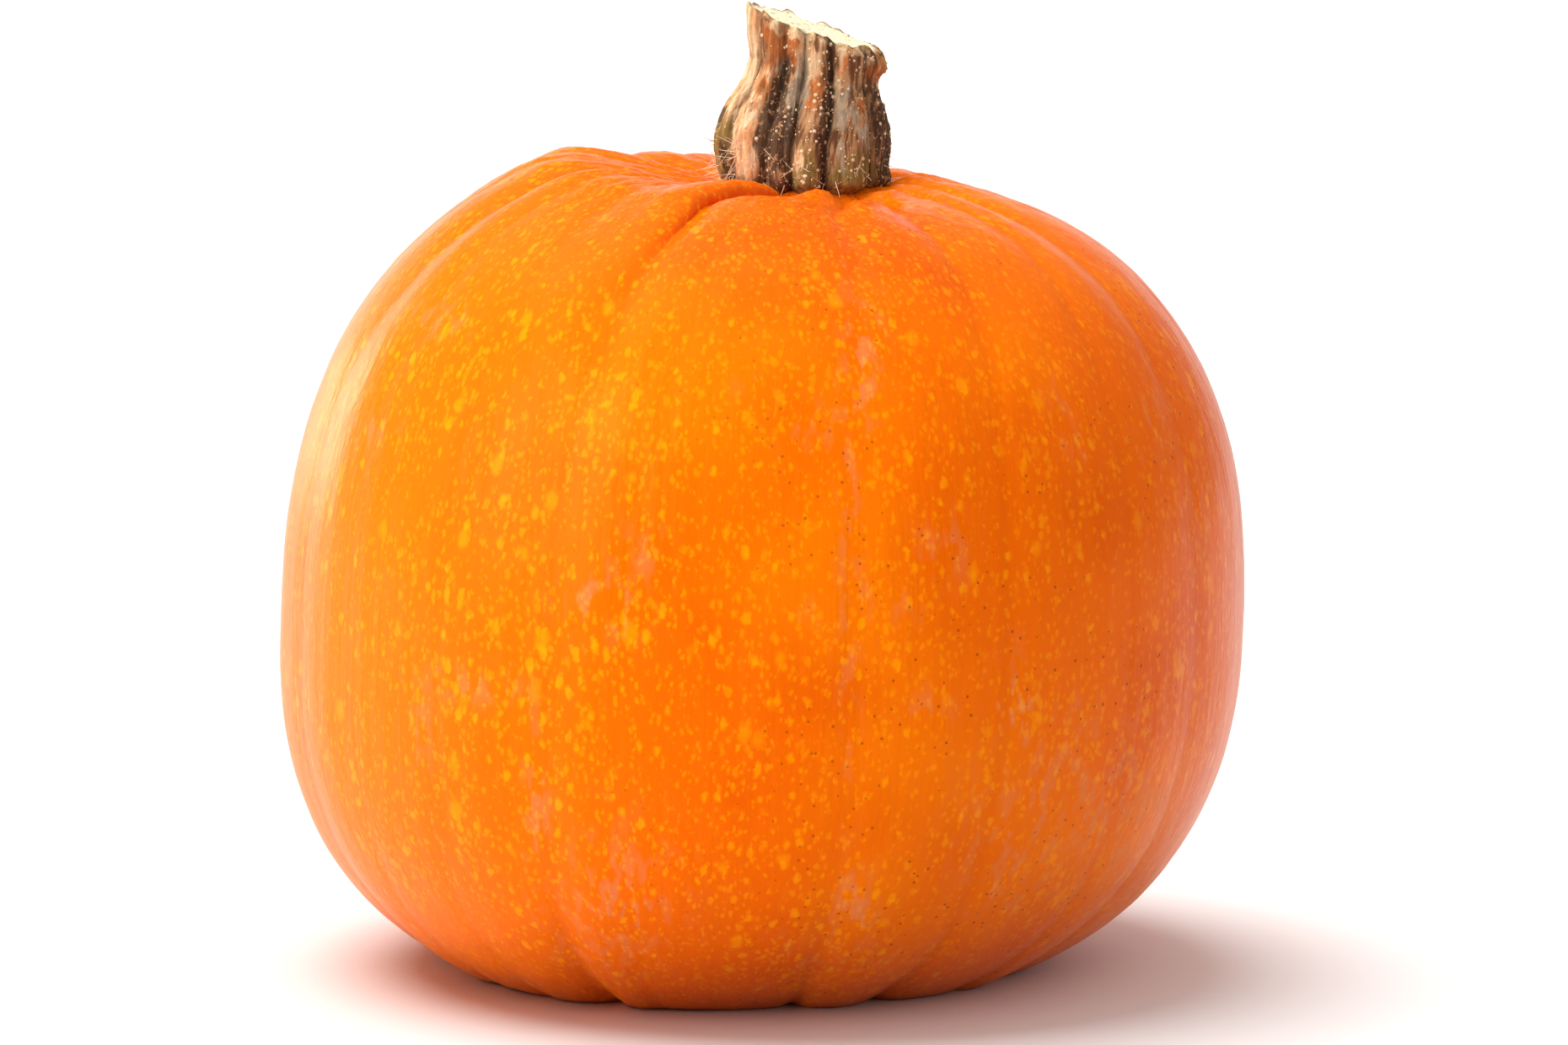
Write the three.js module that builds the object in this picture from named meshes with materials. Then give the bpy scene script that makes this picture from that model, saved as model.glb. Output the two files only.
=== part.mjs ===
// A small ribbed pie pumpkin with its woody stem, at its real size.
// Millimetres, +Z up. The front faces -Y, and azimuths run from the front toward +X.
import * as THREE from 'three';

// Fruit: overall form
const fruitRadius = 95;        // widest radius, over the lobes
const equatorHeight = 69;      // widest level, above the surface that the fruit rests on
const upperHeight = 93.3;      // from the equator to the crest of the lobes, before the crown dips
const lowerHeight = 79;        // from the equator to the lowest level, before the base is flattened
const upperSquareness = 2.44;  // exponent of the outline above the equator, where 2 is an ellipse
const lowerSquareness = 2.5;   // and below it
const crownDip = 11;           // how far the crown sinks toward the stem
const crownDipRadius = 45;
const seatRadius = 18;         // level patch of the crown that carries the stem
const blossomDip = 17;         // hollow of the blossom end, under the fruit
const blossomDipRadius = 56;

// Fruit: how it grew out of true
const shoulderSkew = 0.05;     // the shoulder on the -X side stands this share higher
const sideBow = 2.3;           // the top and the foot bend toward -X, this much at bowLength
const bowLength = 80;
const axisLean = 0.031;        // sideways drift for each millimetre of height
const crownTwist = 14;         // degrees that the furrows turn on their way up to the stem
const crownShift = 7;          // the stem grows this far off the middle, toward +X

// Furrows between the lobes: azimuth in degrees, and depth beside the deepest
const furrows = [
  [-165, 0.45], [-147, 1.0], [-128, 0.5], [-109, 1.0], [-90, 0.5],
  [-71, 1.0], [-56, 0.35], [-41, 0.5], [-25.5, 1.0], [-15, 0.3],
  [9.5, 1.0], [28.5, 1.0], [47.5, 0.6], [61, 0.9], [80, 0.5],
  [99, 1.0], [118, 0.5], [138, 1.0], [157, 0.5], [176, 1.0],
];
const furrowAtEquator = 1.4;   // depth of the deepest furrow there
const furrowAtCrown = 4.2;
const furrowAtBase = 5;
const lobeCrest = 0.12;        // share of the furrow's depth that the lobes stand proud of the outline
const crownFurrowRunOut = 8;   // the furrows rise to nothing over this width around the stem
const baseFurrowRunOut = 22;   // and over this radius at the blossom end
const columnsPerLobe = 6;
const upperRows = 16;
const lowerRows = 15;
const crownRowCrowding = 1.3;  // above 1, the upper rows lie closer together toward the stem

// Stem
const stemFootRadius = 17;
const stemWaistRadius = 12.2;
const stemWaistLevel = 0.72;   // share of the stem's height where it is thinnest
const stemFootFullness = 0.9;  // below 1, the foot stays wide for longer
const stemCutRadius = 12.6;
const stemCutLevel = 0.9;      // the cut end has its full width from here up
const stemHeight = 30;         // on the stem's own middle line
const stemLean = 2.8;          // the cut end stands this far toward +X of the foot
const stemBend = [0.2, 0.8];   // levels between which the stem bends over
const cutSlope = 0.35;         // the cut falls this much for each millimetre toward +X
const stemRidges = 8;
const stemRidgeHeight = 1.1;
const stemColumns = 48;
const stemRows = 10;
const seatGap = 0.3;           // between the stem's foot and the crown

const fade = (x, limit) => Math.max(0, 1 - (x / limit) ** 2) ** 2;
const { smoothstep, degToRad } = THREE.MathUtils;

// The level patch under the stem, as a share of the outline's radius and of its height
const seatShare = seatRadius / fruitRadius;
const seatLevel = (1 - seatShare ** upperSquareness) ** (1 / upperSquareness);
const seatRise = upperHeight * seatLevel - crownDip * fade(seatRadius, crownDipRadius);
const seatTurn = Math.atan2(seatLevel, seatShare) / (Math.PI / 2);

// The fruit's outline at one side, before the furrows are cut.
// u runs from -1 at the base, through 0 at the equator, to 1 at the crown.
function outlinePoint(u) {
  const upper = u >= 0;
  const power = upper ? upperSquareness : lowerSquareness;
  const across = Math.abs(u) === 1 ? 0 : Math.cos(u * Math.PI / 2);
  const along = Math.sin(u * Math.PI / 2);
  const reach = (across ** power + Math.abs(along) ** power) ** (-1 / power);
  const radius = fruitRadius * across * reach;
  if (u > seatTurn) return { radius, height: seatRise, along };
  const height = upper
    ? upperHeight * along * reach - crownDip * fade(radius, crownDipRadius)
    : lowerHeight * along * reach + blossomDip * fade(radius, blossomDipRadius);
  return { radius, height, along };
}

// Levels of the outline, closer together toward the stem, and one more at the middle of the crown
function outlineLevels() {
  const levels = [];
  for (let row = -lowerRows; row <= 0; row++) levels.push(row / lowerRows);
  for (let row = 1; row <= upperRows; row++) {
    levels.push(seatTurn * (1 - (1 - row / upperRows) ** crownRowCrowding));
  }
  return [...levels, 1];
}

// Outward direction of the outline, from two points close by
function outlineNormal(u) {
  const step = 0.004;
  const a = outlinePoint(Math.max(-1, u - step));
  const b = outlinePoint(Math.min(1, u + step));
  const length = Math.hypot(b.radius - a.radius, b.height - a.height);
  return { out: (b.height - a.height) / length, up: -(b.radius - a.radius) / length };
}

// How deep the furrows are at a column: two arcs meet in a narrow line at each furrow.
function furrowShape(lobe, across) {
  const near = (1 - across) ** 2 * furrows[lobe][1];
  const far = across ** 2 * furrows[(lobe + 1) % furrows.length][1];
  return near + far - lobeCrest;
}

// One point of the rind, for a column of a lobe and a level of the outline.
function rindPoint(lobe, across, u) {
  const start = furrows[lobe][0];
  const next = furrows[(lobe + 1) % furrows.length][0];
  const width = (next - start + 360) % 360;
  const { radius, height, along } = outlinePoint(u);
  const normal = outlineNormal(u);
  const furrowEnd = along > 0 ? furrowAtCrown : furrowAtBase;
  const depth = furrowAtEquator + (furrowEnd - furrowAtEquator) * Math.abs(along) ** 3;
  const runOut = along > 0
    ? smoothstep(radius, seatRadius, seatRadius + crownFurrowRunOut)
    : Math.min(1, radius / baseFurrowRunOut);
  const cut = depth * furrowShape(lobe, across) * runOut;
  const twist = along > 0 ? crownTwist * along ** 3 : 0;
  const azimuth = degToRad(start + across * width + twist);
  const outward = radius - cut * normal.out;
  const skewed = along > 0 ? shoulderSkew * along ** 2 * smoothstep(radius, seatRadius, crownDipRadius) : 0;
  const rise = (height - cut * normal.up) * (1 - skewed * Math.sin(azimuth));
  const drift = axisLean * rise - sideBow * (rise / bowLength) ** 2
    + (along > 0 ? crownShift * fade(Math.max(0, radius - seatRadius), crownDipRadius - seatRadius) : 0);
  const level = Math.max(0, equatorHeight + rise);
  return new THREE.Vector3(outward * Math.sin(azimuth) + drift, level, outward * Math.cos(azimuth));
}

// Seen along the lathe's own +Y axis first, then stood up along +Z.
function makeFruit() {
  const levels = outlineLevels();
  const outline = levels.map(u => {
    const point = outlinePoint(u);
    return new THREE.Vector2(point.radius, point.height);
  });
  const columns = furrows.length * columnsPerLobe;
  const geometry = new THREE.LatheGeometry(outline, columns);
  const position = geometry.getAttribute('position');
  for (let i = 0; i < position.count; i++) {
    const column = Math.floor(i / levels.length) % columns;
    const lobe = Math.floor(column / columnsPerLobe);
    const point = rindPoint(lobe, (column % columnsPerLobe) / columnsPerLobe, levels[i % levels.length]);
    position.setXYZ(i, point.x, point.y, point.z);
  }
  geometry.rotateX(Math.PI / 2);
  const rind = new THREE.MeshStandardMaterial({ color: 0xf08010, roughness: 0.38, metalness: 0 });
  const mesh = new THREE.Mesh(geometry, rind);
  mesh.name = 'fruit';
  return mesh;
}

// Radius of the stem at a share of its height: a wide foot, a waist, and a slightly wider cut end
function stemRadius(share) {
  const aboveFoot = Math.min(1, share / stemWaistLevel) * Math.PI / 2;
  const foot = (stemFootRadius - stemWaistRadius) * Math.cos(aboveFoot) ** stemFootFullness;
  const head = (stemCutRadius - stemWaistRadius) * smoothstep(share, stemWaistLevel, stemCutLevel);
  return stemWaistRadius + foot + head;
}

// The stem's own frame stands on the middle of its foot.
function makeStem() {
  const outline = [new THREE.Vector2(0, 0)];
  for (let row = 0; row <= stemRows; row++) {
    const share = row / stemRows;
    outline.push(new THREE.Vector2(stemRadius(share), share));
  }
  outline.push(new THREE.Vector2(0, 1));
  const geometry = new THREE.LatheGeometry(outline, stemColumns);
  const position = geometry.getAttribute('position');
  for (let i = 0; i < position.count; i++) {
    const column = Math.floor(i / outline.length) % stemColumns;
    const azimuth = column / stemColumns * 2 * Math.PI;
    const { x: radius, y: share } = outline[i % outline.length];
    const groove = stemRidgeHeight * Math.abs(Math.sin(azimuth * stemRidges / 2));
    const outward = Math.max(0, radius - groove);
    const x = outward * Math.sin(azimuth) + stemLean * smoothstep(share, ...stemBend);
    const fullHeight = stemHeight - cutSlope * (x - stemLean);
    position.setXYZ(i, x, share * fullHeight, outward * Math.cos(azimuth));
  }
  geometry.rotateX(Math.PI / 2);
  const bark = new THREE.MeshStandardMaterial({ color: 0x8a7048, roughness: 0.85, metalness: 0 });
  const mesh = new THREE.Mesh(geometry, bark);
  mesh.name = 'stem';
  const seat = rindPoint(0, 0, 1);
  mesh.position.set(seat.x, 0, seat.y + seatGap);
  return mesh;
}

// The whole pumpkin stands on z = 0, with the middle of its box over the origin.
const pumpkin = new THREE.Group();
pumpkin.add(makeFruit(), makeStem());
const box = new THREE.Box3().setFromObject(pumpkin);
pumpkin.position.set(-(box.min.x + box.max.x) / 2, -(box.min.y + box.max.y) / 2, 0);

export default pumpkin;
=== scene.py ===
# A small ribbed pie pumpkin: waxy rind, woody stem with a slanted cut, warts and fine hairs.
# Lengths in the dictionaries are millimetres unless a note says otherwise.
# Azimuths are degrees, and run from the front toward +X.
import functools
import math
import bpy
import numpy as np
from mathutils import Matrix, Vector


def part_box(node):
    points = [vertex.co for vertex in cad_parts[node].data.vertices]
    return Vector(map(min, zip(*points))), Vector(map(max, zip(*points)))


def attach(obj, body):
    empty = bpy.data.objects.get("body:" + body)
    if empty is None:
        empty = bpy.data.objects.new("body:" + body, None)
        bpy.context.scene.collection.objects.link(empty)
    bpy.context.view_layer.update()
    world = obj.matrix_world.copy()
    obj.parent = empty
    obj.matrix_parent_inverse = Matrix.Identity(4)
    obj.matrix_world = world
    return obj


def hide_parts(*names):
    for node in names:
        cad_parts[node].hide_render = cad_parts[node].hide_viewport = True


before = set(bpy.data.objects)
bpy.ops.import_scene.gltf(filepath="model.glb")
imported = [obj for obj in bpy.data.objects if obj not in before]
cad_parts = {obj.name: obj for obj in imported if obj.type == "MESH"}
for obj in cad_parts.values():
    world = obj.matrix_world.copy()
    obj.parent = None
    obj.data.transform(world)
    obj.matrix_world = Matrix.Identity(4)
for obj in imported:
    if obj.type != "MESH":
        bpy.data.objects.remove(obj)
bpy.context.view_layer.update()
mm = 0.001
patchFall = 0.7  # how fast a listed patch fades outward


def smooth(x, low, high):
    t = np.clip((x - low) / (high - low), 0, 1)
    return t * t * (3 - 2 * t)


def fade(x, limit):
    return np.clip(1 - (x / limit) ** 2, 0, 1) ** 2


def hexColour(text):  # sRGB hex to linear
    parts = [int(text[i:i + 2], 16) / 255 for i in (1, 3, 5)]
    linear = [c / 12.92 if c <= 0.04045 else ((c + 0.055) / 1.055) ** 2.4 for c in parts]
    return (*linear, 1.0)


def inMetres(lengths):
    return {name: value * mm for name, value in lengths.items()}


# Inputs go by order or by name, and a node given as an input stands for its first output.
def addNode(tree, kind, inputs=(), **settings):
    made = tree.nodes.new(kind)
    for name, value in settings.items():
        setattr(made, name, value)
    sockets = [socket for socket in made.inputs if socket.enabled]
    byName = {socket.name: socket for socket in reversed(sockets)}
    for key, value in (inputs.items() if isinstance(inputs, dict) else enumerate(inputs)):
        socket = byName[key] if isinstance(key, str) else sockets[key]
        if isinstance(value, bpy.types.Node):
            value = next(output for output in value.outputs if output.enabled)
        if isinstance(value, bpy.types.NodeSocket):
            tree.links.new(value, socket)
        elif value is not None:
            socket.default_value = value
    return made


# Part of the outline that each column is in, and its share across that part. Columns crowd at the edges.
def crowdedColumns(parts, perPart, crowding):
    part = np.repeat(np.arange(parts), perPart)[None]
    even = np.tile(np.arange(perPart) / perPart, parts)[None]
    return part, (1 - crowding) * even + crowding * (0.5 - 0.5 * np.cos(math.pi * even))


# A closed skin: rows run from the lower pole to the upper one, and columns round the axis.
def closedGrid(name, grid, attributes):
    rows, columns = grid.shape[:2]

    def flat(a):
        return np.concatenate([a[0, :1], a[1:-1].reshape(-1, *a.shape[2:]), a[-1, :1]])

    points = flat(grid)
    ring = 1 + np.arange((rows - 2) * columns).reshape(rows - 2, columns)
    after = np.roll(ring, -1, axis=1)
    faces = np.stack([ring[:-1], after[:-1], after[1:], ring[1:]], -1).reshape(-1, 4).tolist()
    faces += [(0, b, a) for a, b in zip(ring[0].tolist(), after[0].tolist())]
    faces += [(a, b, len(points) - 1) for a, b in zip(ring[-1].tolist(), after[-1].tolist())]
    mesh = bpy.data.meshes.new(name)
    mesh.from_pydata((points * mm).tolist(), [], faces)
    for label, values in attributes.items():
        values = flat(np.broadcast_to(values, grid.shape[:2] + np.shape(values)[2:]))
        isVector = values.ndim == 2
        layer = mesh.attributes.new(label, "FLOAT_VECTOR" if isVector else "FLOAT", "POINT")
        layer.data.foreach_set("vector" if isVector else "value", values.astype(np.float32).ravel())
    u = np.arange(columns) / columns
    v = np.linspace(0, 1, rows)[1:-1]
    left, height = np.meshgrid(u, v)
    right = left + 1 / columns
    corners = ((left[:-1], height[:-1]), (right[:-1], height[:-1]),
               (right[1:], height[1:]), (left[1:], height[1:]))
    quadMap = np.stack([np.stack(corner, -1) for corner in corners], 2).reshape(-1, 2)
    foot = [((a + 0.5 / columns, 0), (a + 1 / columns, v[0]), (a, v[0])) for a in u]
    top = [((a, v[-1]), (a + 1 / columns, v[-1]), (a + 0.5 / columns, 1)) for a in u]
    layer = mesh.uv_layers.new(name="OFBake")
    uv = np.concatenate([quadMap, np.reshape(foot, (-1, 2)), np.reshape(top, (-1, 2))])
    layer.data.foreach_set("uv", uv.astype(np.float32).ravel())
    mesh.polygons.foreach_set("use_smooth", np.ones(len(mesh.polygons), bool))
    mesh.update()
    piece = bpy.data.objects.new(name, mesh)
    bpy.context.scene.collection.objects.link(piece)
    return piece


def newGeometryTree(name, inputs):  # a tree with named inputs: kind and value of each
    tree = bpy.data.node_groups.new(name, "GeometryNodeTree")
    tree.interface.new_socket("Geometry", in_out="INPUT", socket_type="NodeSocketGeometry")
    tree.interface.new_socket("Geometry", in_out="OUTPUT", socket_type="NodeSocketGeometry")
    for label, (kind, value) in inputs.items():
        socket = tree.interface.new_socket(label, in_out="INPUT", socket_type="NodeSocket" + kind)
        if value is not None:
            socket.default_value = value
    node = functools.partial(addNode, tree)
    return tree, node, node("NodeGroupInput").outputs


# Sums layers of noise (what they follow, input with their size, detail, height), and moves the skin by them.
def raiseSkin(node, given, layers):
    height = 0.0
    for vector, size, detail, amount in layers:
        scale = node("ShaderNodeMath", (1.0, given[size]), operation="DIVIDE")
        noise = node("ShaderNodeTexNoise", {"Vector": vector, "Scale": scale, "Detail": detail})
        centred = node("ShaderNodeMath", (noise, 2.0, -1.0), operation="MULTIPLY_ADD")
        height = node("ShaderNodeMath", (centred, amount, height), operation="MULTIPLY_ADD")
    normal = node("GeometryNodeInputNormal")
    offset = node("ShaderNodeVectorMath", {"Vector": normal, "Scale": height}, operation="SCALE")
    return node("GeometryNodeSetPosition", {"Geometry": given["Geometry"], "Offset": offset})


def finishTree(tree, geometry, finish):  # every tree ends in real geometry with its material
    real = addNode(tree, "GeometryNodeRealizeInstances", (geometry,))
    done = addNode(tree, "GeometryNodeSetMaterial", {"Geometry": real, "Material": finish})
    addNode(tree, "NodeGroupOutput", (done,))
    return tree


def runTree(source, tree, values, name):  # the evaluated result, as a plain mesh
    modifier = source.modifiers.new(tree.name, "NODES")
    modifier.node_group = tree
    for item in tree.interface.items_tree:
        if item.item_type == "SOCKET" and item.in_out == "INPUT" and item.name in values:
            modifier[item.identifier] = values[item.name]
    graph = bpy.context.evaluated_depsgraph_get()
    mesh = bpy.data.meshes.new_from_object(
        source.evaluated_get(graph), preserve_all_data_layers=True, depsgraph=graph)
    source.modifiers.remove(modifier)
    mesh.name = name
    if source.name == name:  # the result takes the place of the piece's own mesh
        source.data = mesh
        return source
    piece = bpy.data.objects.new(name, mesh)
    bpy.context.scene.collection.objects.link(piece)
    return piece


def newMaterial(name):
    made = bpy.data.materials.new(name)
    made.use_nodes = True
    made.node_tree.nodes.clear()
    return made, functools.partial(addNode, made.node_tree)


# Masks of noise: what each follows, size, stretch along the third axis, detail, the noise at the mask's
# low and high edge, and its value past the high edge.
def noiseMasks(node, follows, rows):
    masks = {}
    for name, (place, size, stretch, detail, *edges, most) in rows.items():
        vector = follows[place]
        if stretch != 1:
            vector = node("ShaderNodeMapping", {"Vector": vector, "Scale": (1, 1, stretch)})
        noise = node("ShaderNodeTexNoise", {"Vector": vector, "Scale": 1 / (size * mm), "Detail": detail})
        masks[name] = node("ShaderNodeMapRange", (noise, *edges, 0.0, most), interpolation_type="SMOOTHSTEP")
    return masks


rind = {
    # outline: a squarish oval round a bowed axis
    "radius": 95.0, "equator": 69.0, "upperHeight": 93.3, "lowerHeight": 79.0,
    "upperSquareness": 2.44, "lowerSquareness": 2.5,
    "crownDip": 11.0, "crownDipRadius": 45.0, "seatRadius": 18.0, "hiddenRadius": 12.0,
    "blossomDip": 17.0, "blossomDipRadius": 56.0,
    "shoulderSkew": 0.05, "sideBow": 2.3, "bowLength": 80.0, "axisLean": 0.031, "crownShift": 7.0,
    # furrows, the creases along them, and the radii where they run out
    "furrowAtEquator": 1.4, "furrowAtCrown": 4.2, "furrowAtBase": 5.0, "lobeCrest": 0.12,
    "furrowRound": 0.15, "furrowSharpest": 0.02, "crownRunOut": (12, 33), "baseRunOut": 22,
    "creaseAtCrown": 0.4, "creaseAtBase": 1.3, "creaseAtEquator": 0.04, "creaseWidth": 1.8,
    # toes against the stem, and the radii between which the lobes dip in front of it
    "toeHeight": 1.5, "toeRadius": 22.0, "toeWidth": 5.0, "dipInner": (12, 19), "dipOuter": (30, 68),
    "wander": 0.9, "wanderBends": 3.1, "swell": 0.35,
    # the lobe that leans over a furrow: levels and radii where it starts to, and where its lip is highest
    "foldLobe": 7, "foldHeight": 1.3, "foldReach": 2.2, "foldLevels": (0.62, 0.93), "foldRadii": (11, 22),
    "lipRadius": 28, "lipWidth": 8,
    # the shoulder that sags
    "sagDepth": 1.9, "sagAzimuth": -32, "sagWidth": 30, "sagRadius": 50.0, "sagReach": 14,
    # blossom scar: a wavy corky ring with a nub
    "scarRadius": 6.5, "scarHeight": 1.6, "scarReach": 30, "ringRadius": 0.8, "ringWidth": 1.5,
    "nubHeight": 0.9, "nubRadius": 1.6, "scarWaves": 5, "scarWaviness": 0.25, "corkEdge": 2.5,
    # where the crown's look ends, and how strong the growth streaks are: more on the crown, and everywhere
    "crownFade": (20, 66), "crownStreaks": 1.8, "sideStreaks": 0.6,
    "columnsPerLobe": 24, "columnCrowding": 0.45, "upperRows": 108, "upperCrowding": 1.2,
    "lowerRows": 84, "lowerCrowding": 1.15, "seed": 5,
    # azimuth, depth beside the deepest, degrees it turns on the way to the stem, then the lobe after it:
    # height share of its toe, and how far it dips in front of the stem
    "furrows": [(-165, 0.45, 14, 0.2, 1.0), (-147, 1.0, 14, 0.3, 0.5), (-128, 0.5, 14, 0.2, -0.4),
                (-109, 1.0, 13, 0.3, -0.8), (-90, 0.5, 12, 0.3, 0.2), (-71, 0.9, 10, 0.0, 0.8),
                (-56, 0.35, 7, 0.0, 1.2), (-41, 0.35, 5, 0.2, 1.5), (-25.5, 0.75, 13, 0.0, 2.6),
                (-15, 0.2, 14, 1.6, 2.2), (9.5, 0.85, 13, 0.0, 2.2), (28.5, 0.9, 14, 1.0, 2.0),
                (47.5, 0.6, 14, 0.5, 0.8), (61, 0.9, 14, 0.8, 0.2), (80, 0.5, 14, 0.6, 0.2),
                (99, 1.0, 14, 0.7, 0.2), (118, 0.5, 14, 0.5, 0.4), (138, 1.0, 14, 0.5, 0.6),
                (157, 0.5, 14, 0.4, 0.9), (176, 1.0, 14, 0.3, 1.2)],
    # rubbed and scabbed places on the front: x, height, half width, half height, strength
    "rubs": [(-30, 84, 5, 5, 1.0), (-22, 93, 3, 4, 0.6), (-27, 25, 8, 11, 0.9), (17, 25, 3.5, 6, 1.0),
             (34, 93, 4, 5, 0.6), (48, 62, 3, 8, 0.9), (62, 42, 15, 13, 0.75), (47, 34, 8, 12, 0.7),
             (31, 63, 3, 3, 0.7), (-77, 111, 5, 3, 0.9), (-62, 132, 5, 2.5, 0.6), (19, 127, 2.5, 9, 0.8),
             (-52, 4, 9, 2, 0.8), (-1, 5, 5, 1.5, 0.7), (-54, 66, 9, 2.5, 0.6), (-42, 42, 2, 16, 0.7),
             (-64, 58, 2, 9, 0.5), (83, 92, 2, 9, 0.6), (16, 95, 1.6, 38, 0.5), (-35, 15, 4, 5, 0.6),
             (74, 112, 3, 6, 0.6), (11, 116, 5, 3, 0.4)],
}


def makeRind():  # lobes round a bowed axis, as the frame has them, with what the skin adds
    r = rind
    rng = np.random.default_rng(r["seed"])
    azimuths, weights, twists, toes, dips = np.array(r["furrows"]).T
    lobes = len(azimuths)
    widths = (np.roll(azimuths, -1) - azimuths) % 360
    phase, swell = rng.uniform(0, 2 * math.pi, lobes), rng.uniform(-1, 1, lobes) * r["swell"]
    lobe, across = crowdedColumns(lobes, r["columnsPerLobe"], r["columnCrowding"])
    nextLobe = (lobe + 1) % lobes

    def turnAt(radius):  # level of the upper outline that has this radius
        share = radius / r["radius"]
        power = r["upperSquareness"]
        return math.atan2((1 - share ** power) ** (1 / power), share) / (math.pi / 2)

    lower = -(1 - (np.arange(r["lowerRows"]) / r["lowerRows"]) ** r["lowerCrowding"])
    upper = np.arange(r["upperRows"] + 1) / r["upperRows"]
    upper = turnAt(r["hiddenRadius"]) * (1 - (1 - upper) ** r["upperCrowding"])
    u = np.concatenate([lower, upper, [1.0]])[:, None]
    isUpper = u >= 0
    power = np.where(isUpper, r["upperSquareness"], r["lowerSquareness"])
    axial, radial = np.sin(u * math.pi / 2), np.abs(np.cos(u * math.pi / 2))
    radial[[0, -1]] = 0
    reach = (radial ** power + np.abs(axial) ** power) ** (-1 / power)
    radius = r["radius"] * radial * reach
    seatShare = r["seatRadius"] / r["radius"]
    seatRise = (r["upperHeight"] * (1 - seatShare ** r["upperSquareness"]) ** (1 / r["upperSquareness"])
                - r["crownDip"] * fade(r["seatRadius"], r["crownDipRadius"]))
    height = np.where(
        isUpper, r["upperHeight"] * axial * reach - r["crownDip"] * fade(radius, r["crownDipRadius"]),
        r["lowerHeight"] * axial * reach + r["blossomDip"] * fade(radius, r["blossomDipRadius"]))
    height = np.where(isUpper & (radius < r["seatRadius"]), seatRise, height)
    outRow, upRow = np.gradient(height[:, 0]), -np.gradient(radius[:, 0])
    length = np.hypot(outRow, upRow) + 1e-9
    out, up = (outRow / length)[:, None], (upRow / length)[:, None]

    # furrows: two arcs meet at each line, and a narrow crease deepens it toward both ends
    level = np.abs(axial)
    depth = r["furrowAtEquator"] + level ** 3 * (
        np.where(isUpper, r["furrowAtCrown"], r["furrowAtBase"]) - r["furrowAtEquator"])
    blunt = r["furrowRound"] * (1 - level ** 2) + r["furrowSharpest"]  # sharp near both ends only
    left, right = (np.sqrt(side ** 2 + blunt ** 2) for side in (across, 1 - across))
    arcs = (1 - left) ** 2 * weights[lobe] + (1 - right) ** 2 * weights[nextLobe] - r["lobeCrest"]
    span = np.radians(widths[lobe]) * radius  # width of the lobe at this level
    crease = (weights[lobe] * np.exp(-(across * span / r["creaseWidth"]) ** 2)
              + weights[nextLobe] * np.exp(-((1 - across) * span / r["creaseWidth"]) ** 2))
    creaseDepth = np.where(isUpper, r["creaseAtCrown"], r["creaseAtBase"]) * level ** 4 + r["creaseAtEquator"]
    runOut = np.where(isUpper, smooth(radius, *r["crownRunOut"]), np.clip(radius / r["baseRunOut"], 0, 1))
    cut = (depth * arcs + creaseDepth * crease - swell[lobe] * np.sin(math.pi * across) ** 2) * runOut

    # each lobe ends in a rounded toe against the stem, behind a dip
    toe = r["toeHeight"] * toes[lobe] * np.exp(-((radius - r["toeRadius"]) / r["toeWidth"]) ** 2)
    middle = np.sin(math.pi * across)
    dip = np.where(across < 0.5, dips[(lobe - 1) % lobes] + dips[lobe], dips[lobe] + dips[nextLobe]) / 2
    dip = dip + (dips[lobe] - dip) * middle
    dip = dip * (1 - smooth(radius, *r["dipOuter"])) * smooth(radius, *r["dipInner"])
    toe = np.where(isUpper, toe * middle - dip, 0)

    # one lobe leans over the furrow beside it
    inFold = (lobe == r["foldLobe"]) * smooth(axial, *r["foldLevels"]) * smooth(radius, *r["foldRadii"])
    lip = r["foldHeight"] * inFold * np.sin(math.pi * across ** 2) ** 2
    lip = lip * (1 + np.exp(-((radius - r["lipRadius"]) / r["lipWidth"]) ** 2))
    lean = r["foldReach"] * inFold * np.sin(math.pi * across ** 3)

    bends = r["wanderBends"] * axial
    wander = (1 - across) * np.sin(bends + phase[lobe]) + across * np.sin(bends + phase[nextLobe])
    twist = (1 - across) * twists[lobe] + across * twists[nextLobe]
    twist = np.where(isUpper, twist * level ** 3, 0) + r["wander"] * wander * level
    azimuth = np.radians(azimuths[lobe] + across * widths[lobe] + twist) + lean / np.maximum(radius, 5)
    aside = (np.degrees(azimuth) - r["sagAzimuth"]) / r["sagWidth"]
    beyond = (radius - r["sagRadius"]) / r["sagReach"]
    toe = toe - isUpper * r["sagDepth"] * np.exp(-aside ** 2 - beyond ** 2)
    outward = radius - (cut - lip) * out
    skew = r["shoulderSkew"] * axial ** 2 * smooth(radius, r["seatRadius"], r["crownDipRadius"])
    rise = (height - (cut - lip) * up + toe) * (1 - np.where(isUpper, skew, 0) * np.sin(azimuth))
    fromSeat = np.maximum(0, radius - r["seatRadius"])
    drift = (r["axisLean"] * rise - r["sideBow"] * (rise / r["bowLength"]) ** 2
             + isUpper * r["crownShift"] * fade(fromSeat, r["crownDipRadius"] - r["seatRadius"]))

    # blossom scar, in the hollow under the fruit
    isScar = ~isUpper & (radius < r["scarReach"])
    ring = (np.exp(-((radius - r["ringRadius"] * r["scarRadius"]) / r["ringWidth"]) ** 2)
            + r["nubHeight"] * np.exp(-(radius / r["nubRadius"]) ** 2))
    waves = 1 + r["scarWaviness"] * np.sin(r["scarWaves"] * azimuth) * (radius > 1)
    rise = rise - np.where(isScar, r["scarHeight"] * ring * waves, 0)
    cork = np.where(isScar, 1 - smooth(radius, r["scarRadius"], r["scarRadius"] + r["corkEdge"]), 0)

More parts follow.
